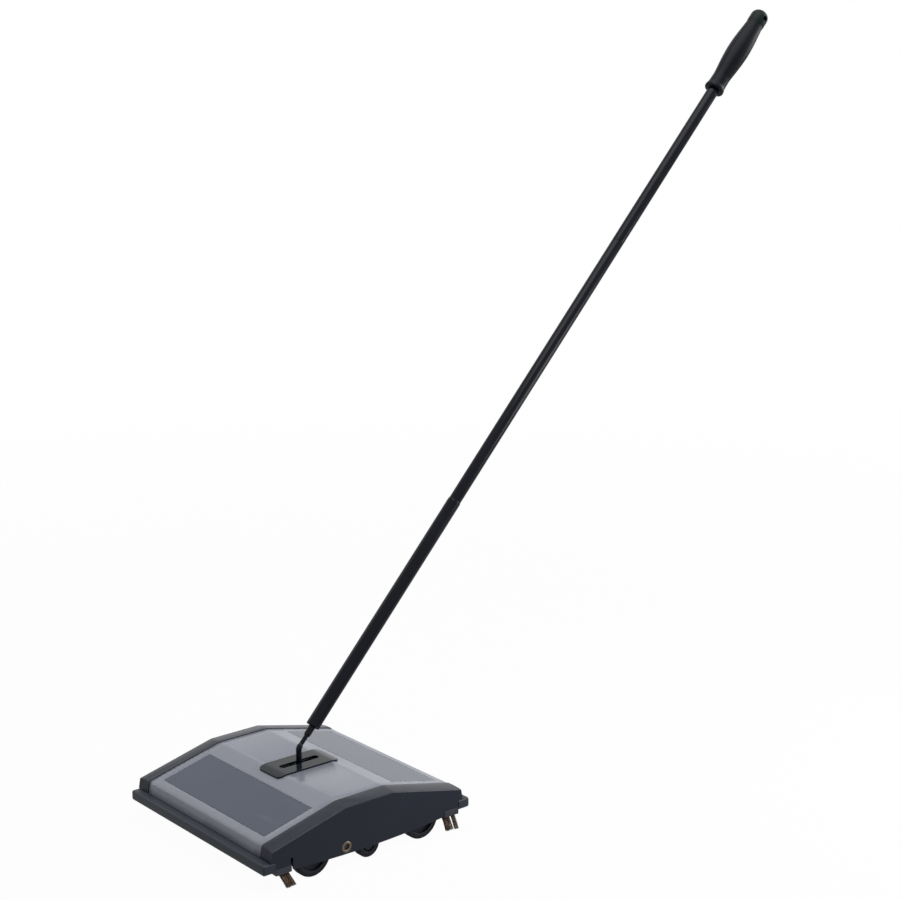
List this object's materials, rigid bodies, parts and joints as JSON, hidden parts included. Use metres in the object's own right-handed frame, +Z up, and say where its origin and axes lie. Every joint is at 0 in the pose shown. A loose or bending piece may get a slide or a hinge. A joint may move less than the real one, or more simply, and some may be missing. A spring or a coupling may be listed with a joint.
{
  "type": "carpet sweeper",
  "caption": "Manual carpet sweeper with an arched body, smoked windows over two hinged dust pans, wheel-driven brush rolls, corner tufts and a tilting sectional handle.",
  "frame": {"origin": "on the floor under the middle of the sweeper's body", "axes": "+X along the wheel axles towards the right end cap, +Y backwards, the way the handle leans, +Z up"},
  "size_m": [0.2576, 0.8416, 0.8495],
  "materials": {
    "cover": "satin grey paint over sheet steel",
    "window": "smoked clear plastic, gloss",
    "cap_plastic": "dark grey moulded plastic, satin",
    "bumper_rubber": "dark grey rubber",
    "black_metal": "satin black paint",
    "grip_plastic": "black moulded plastic, slight sheen",
    "cap_end": "charcoal moulded plastic",
    "steel": "bright zinc plated",
    "spring_steel": "plain spring wire",
    "brass": "dull brass",
    "nylon": "natural nylon",
    "wheel_rubber": "black rubber",
    "wheel_plastic": "dark moulded plastic",
    "brush_wood": "turned hardwood core",
    "bristle": "dark brown bristle, stands in for tufts",
    "pan_plastic": "dark moulded plastic"
  },
  "bodies": {
    "chassis": {"top_cover": "cover", "front_window": "window", "rear_window": "window", "slot_plate": "cap_plastic", "left_end_cap": "cap_plastic", "right_end_cap": "cap_plastic", "front_bumper": "bumper_rubber", "rear_bumper": "bumper_rubber", "handle_bracket": "steel", "bracket_screws": "steel", "cover_screws": "steel", "bumper_screws": "steel", "wheel_axles": "steel", "front_brush_eyelet": "brass", "rear_brush_eyelet": "brass", "brush_bushes": "nylon", "front_pan_rod": "steel", "rear_pan_rod": "steel", "front_pan_springs": "spring_steel", "rear_pan_springs": "spring_steel", "front_left_tuft_holder": "steel", "front_right_tuft_holder": "steel", "rear_left_tuft_holder": "steel", "rear_right_tuft_holder": "steel", "front_left_tuft": "bristle", "front_right_tuft": "bristle", "rear_left_tuft": "bristle", "rear_right_tuft": "bristle"},
    "handle": {"handle_rod": "black_metal", "pivot_pin": "steel", "friction_washers": "spring_steel", "ferrule": "black_metal", "lower_tube": "black_metal", "middle_tube": "black_metal", "upper_tube": "black_metal", "grip": "grip_plastic", "grip_cap": "cap_end"},
    "front_brush": {"front_brush_shaft": "steel", "front_brush_core": "brush_wood", "front_brush_bristles": "bristle", "front_brush_drums": "wheel_rubber"},
    "rear_brush": {"rear_brush_shaft": "steel", "rear_brush_core": "brush_wood", "rear_brush_bristles": "bristle", "rear_brush_drums": "wheel_rubber"},
    "front_pan": {"front_pan": "pan_plastic"},
    "rear_pan": {"rear_pan": "pan_plastic"},
    "front_left_wheel": {"front_left_hub": "wheel_plastic", "front_left_tyre": "wheel_rubber"},
    "front_right_wheel": {"front_right_hub": "wheel_plastic", "front_right_tyre": "wheel_rubber"},
    "mid_left_wheel": {"mid_left_hub": "wheel_plastic", "mid_left_tyre": "wheel_rubber"},
    "mid_right_wheel": {"mid_right_hub": "wheel_plastic", "mid_right_tyre": "wheel_rubber"},
    "rear_left_wheel": {"rear_left_hub": "wheel_plastic", "rear_left_tyre": "wheel_rubber"},
    "rear_right_wheel": {"rear_right_hub": "wheel_plastic", "rear_right_tyre": "wheel_rubber"}
  },
  "joints": [
    {"name": "handle_tilt", "type": "hinge", "parent": "chassis", "child": "handle", "pos_m": [0, 0, 0.044], "axis": [-1, 0, 0], "range_deg": [-42, 42]},
    {"name": "front_brush_spin", "type": "hinge", "parent": "chassis", "child": "front_brush", "pos_m": [0, -0.03049, 0.021], "axis": [1, 0, 0], "continuous": true},
    {"name": "rear_brush_spin", "type": "hinge", "parent": "chassis", "child": "rear_brush", "pos_m": [0, 0.03049, 0.021], "axis": [1, 0, 0], "continuous": true},
    {"name": "front_pan_dump", "type": "hinge", "parent": "chassis", "child": "front_pan", "pos_m": [0, -0.1095, 0.017], "axis": [-1, 0, 0], "range_deg": [0, 60], "stiffness_Nm_per_rad": 0.12, "springref_deg": -28.65},
    {"name": "rear_pan_dump", "type": "hinge", "parent": "chassis", "child": "rear_pan", "pos_m": [0, 0.1095, 0.017], "axis": [1, 0, 0], "range_deg": [0, 60], "stiffness_Nm_per_rad": 0.12, "springref_deg": -28.65},
    {"name": "front_left_wheel_roll", "type": "hinge", "parent": "chassis", "child": "front_left_wheel", "pos_m": [-0.1158, -0.0699, 0.0215], "axis": [1, 0, 0], "continuous": true},
    {"name": "front_right_wheel_roll", "type": "hinge", "parent": "chassis", "child": "front_right_wheel", "pos_m": [0.1158, -0.0699, 0.0215], "axis": [1, 0, 0], "continuous": true},
    {"name": "mid_left_wheel_roll", "type": "hinge", "parent": "chassis", "child": "mid_left_wheel", "pos_m": [-0.1158, 0, 0.0135], "axis": [1, 0, 0], "continuous": true},
    {"name": "mid_right_wheel_roll", "type": "hinge", "parent": "chassis", "child": "mid_right_wheel", "pos_m": [0.1158, 0, 0.0135], "axis": [1, 0, 0], "continuous": true},
    {"name": "rear_left_wheel_roll", "type": "hinge", "parent": "chassis", "child": "rear_left_wheel", "pos_m": [-0.1158, 0.0699, 0.0215], "axis": [1, 0, 0], "continuous": true},
    {"name": "rear_right_wheel_roll", "type": "hinge", "parent": "chassis", "child": "rear_right_wheel", "pos_m": [0.1158, 0.0699, 0.0215], "axis": [1, 0, 0], "continuous": true}
  ],
  "couplings": [
    {"joint": "rear_brush_spin", "follows": "front_brush_spin", "ratio": 1},
    {"joint": "front_left_wheel_roll", "follows": "front_brush_spin", "ratio": -0.85148},
    {"joint": "front_right_wheel_roll", "follows": "front_brush_spin", "ratio": -0.85148},
    {"joint": "mid_left_wheel_roll", "follows": "front_brush_spin", "ratio": -1.3561},
    {"joint": "mid_right_wheel_roll", "follows": "front_brush_spin", "ratio": -1.3561},
    {"joint": "rear_left_wheel_roll", "follows": "front_brush_spin", "ratio": -0.85148},
    {"joint": "rear_right_wheel_roll", "follows": "front_brush_spin", "ratio": -0.85148}
  ]
}
